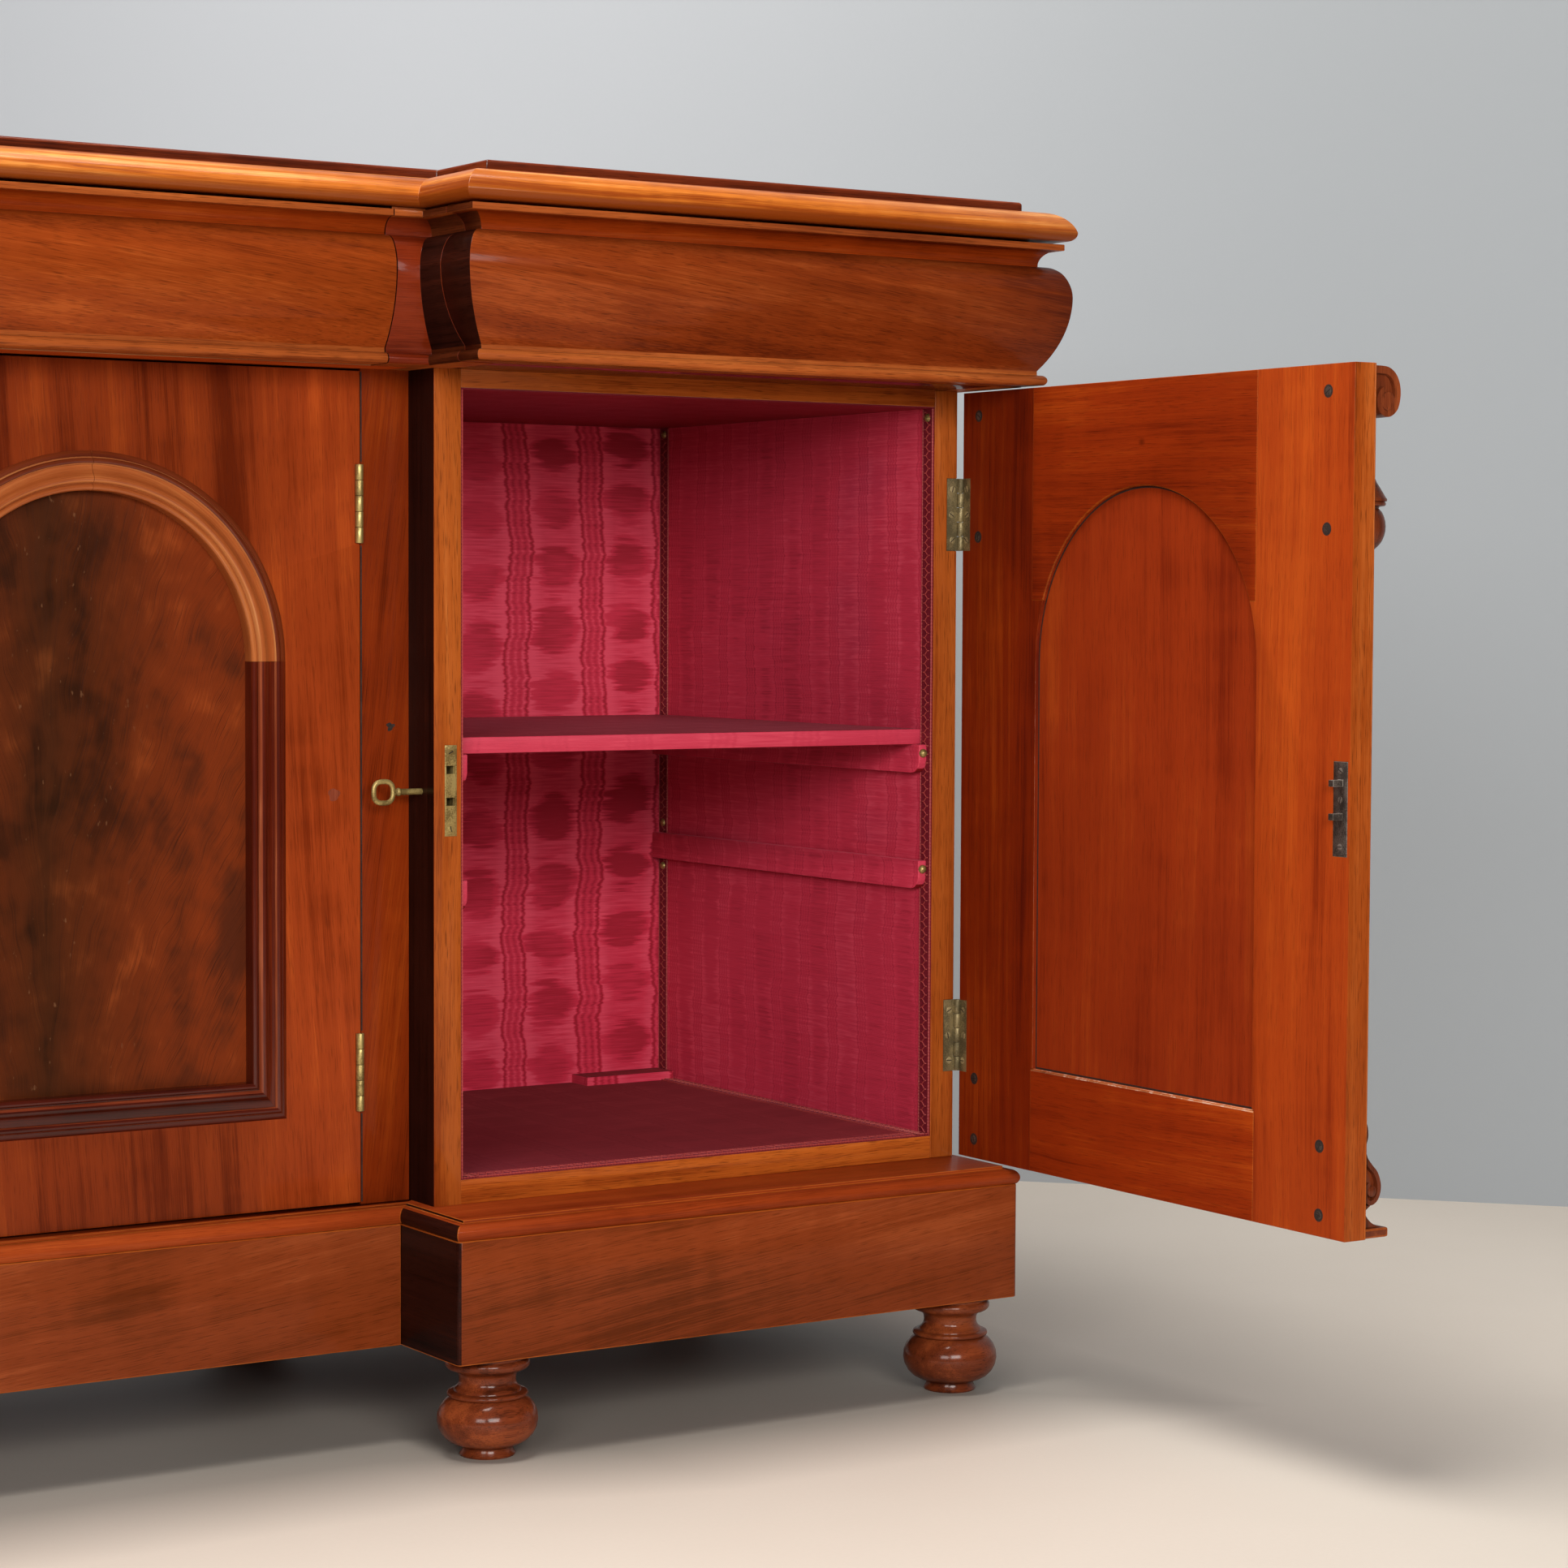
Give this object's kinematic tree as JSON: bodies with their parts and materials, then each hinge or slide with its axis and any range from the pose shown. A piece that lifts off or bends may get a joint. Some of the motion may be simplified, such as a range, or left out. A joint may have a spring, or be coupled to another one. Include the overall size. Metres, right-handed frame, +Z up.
{
  "type": "breakfront sideboard",
  "caption": "Long breakfront sideboard with projecting wing cupboards, arched-panel doors, carved consoles, and drawers hidden in a cushion-moulded frieze under a moulded top.",
  "frame": {"origin": "on the floor, under the middle of the bounding box of the whole piece with its right-hand wing door open", "axes": "+X along the length to the right-hand wing, -Y to the front, +Z up"},
  "size_m": [2.1022, 0.9796, 1.016],
  "materials": {
    "mahogany": "french polished",
    "figured_mahogany": "french polished, figured veneer",
    "inner_wood": "waxed",
    "silk": "watered silk",
    "brass": "aged",
    "iron": "aged"
  },
  "bodies": {
    "cabinet": {"back_centre": "inner_wood", "back_left": "inner_wood", "back_right": "inner_wood", "bearers": "inner_wood", "bottom_centre": "inner_wood", "bottom_left": "inner_wood", "bottom_right": "inner_wood", "ceiling_centre": "inner_wood", "ceiling_left": "inner_wood", "ceiling_right": "inner_wood", "feet_back": "mahogany", "foot_front_inner_left": "mahogany", "foot_front_inner_right": "mahogany", "foot_front_outer_left": "mahogany", "foot_front_outer_right": "mahogany", "frieze_corner_left": "mahogany", "frieze_corner_right": "mahogany", "frieze_side_left": "mahogany", "frieze_side_right": "mahogany", "hinge_leaves_fixed": "brass", "lining_left": "silk", "lining_right": "silk", "locks": "brass", "plinth_centre": "mahogany", "plinth_left": "mahogany", "plinth_moulding": "mahogany", "plinth_right": "mahogany", "shelf_centre": "inner_wood", "shelves_wing": "inner_wood", "side_inner_left": "mahogany", "side_inner_right": "mahogany", "side_outer_left": "mahogany", "side_outer_right": "mahogany", "stiles_centre": "mahogany", "top": "mahogany", "top_platform": "mahogany"},
    "drawer_centre": {"drawer_front_centre": "mahogany", "drawer_box_centre": "inner_wood"},
    "drawer_right": {"drawer_front_right": "mahogany", "drawer_box_right": "inner_wood"},
    "drawer_left": {"drawer_front_left": "mahogany", "drawer_box_left": "inner_wood"},
    "wing_door_right": {"door_frame_wing_right": "mahogany", "door_panel_wing_right": "figured_mahogany", "consoles_right": "mahogany", "link_plate_right": "iron", "hinge_leaves_wing_right": "brass"},
    "wing_door_left": {"door_frame_wing_left": "mahogany", "door_panel_wing_left": "figured_mahogany", "consoles_left": "mahogany", "link_plate_left": "iron", "hinge_leaves_wing_left": "brass"},
    "centre_door_right": {"door_frame_centre_right": "mahogany", "door_panel_centre_right": "figured_mahogany", "hinge_leaves_centre_right": "brass"},
    "centre_door_left": {"door_frame_centre_left": "mahogany", "door_panel_centre_left": "figured_mahogany", "hinge_leaves_centre_left": "brass"},
    "key": {"key": "brass"},
    "bolt": {"bolt": "iron"}
  },
  "joints": [
    {"name": "wing_door_right_hinge", "type": "hinge", "parent": "cabinet", "child": "wing_door_right", "pos_m": [0.99942, 0.0194, 0.5], "axis": [0, 0, 1], "range_deg": [-89.4, 88]},
    {"name": "wing_door_left_hinge", "type": "hinge", "parent": "cabinet", "child": "wing_door_left", "pos_m": [-1.01958, 0.0194, 0.5], "axis": [0, 0, -1], "range_deg": [0, 177.4]},
    {"name": "centre_door_right_hinge", "type": "hinge", "parent": "cabinet", "child": "centre_door_right", "pos_m": [0.44192, 0.0623, 0.5], "axis": [0, 0, 1], "range_deg": [0, 88]},
    {"name": "centre_door_left_hinge", "type": "hinge", "parent": "cabinet", "child": "centre_door_left", "pos_m": [-0.46208, 0.0623, 0.5], "axis": [0, 0, -1], "range_deg": [0, 105]},
    {"name": "drawer_centre_slide", "type": "slide", "parent": "cabinet", "child": "drawer_centre", "axis": [0, -1, 0], "range_m": [0, 0.32]},
    {"name": "drawer_right_slide", "type": "slide", "parent": "cabinet", "child": "drawer_right", "axis": [0, -1, 0], "range_m": [0, 0.32]},
    {"name": "drawer_left_slide", "type": "slide", "parent": "cabinet", "child": "drawer_left", "axis": [0, -1, 0], "range_m": [0, 0.32]},
    {"name": "key_turn", "type": "hinge", "parent": "cabinet", "child": "key", "pos_m": [0.46992, 0.0415, 0.5256], "axis": [-1, 0, 0], "range_deg": [0, 90]},
    {"name": "bolt_slide", "type": "slide", "parent": "cabinet", "child": "bolt", "axis": [0, 0, 1], "range_m": [0, 0.008]}
  ],
  "couplings": [
    {"joint": "bolt_slide", "follows": "key_turn", "m_per_rad": 0.005093}
  ]
}
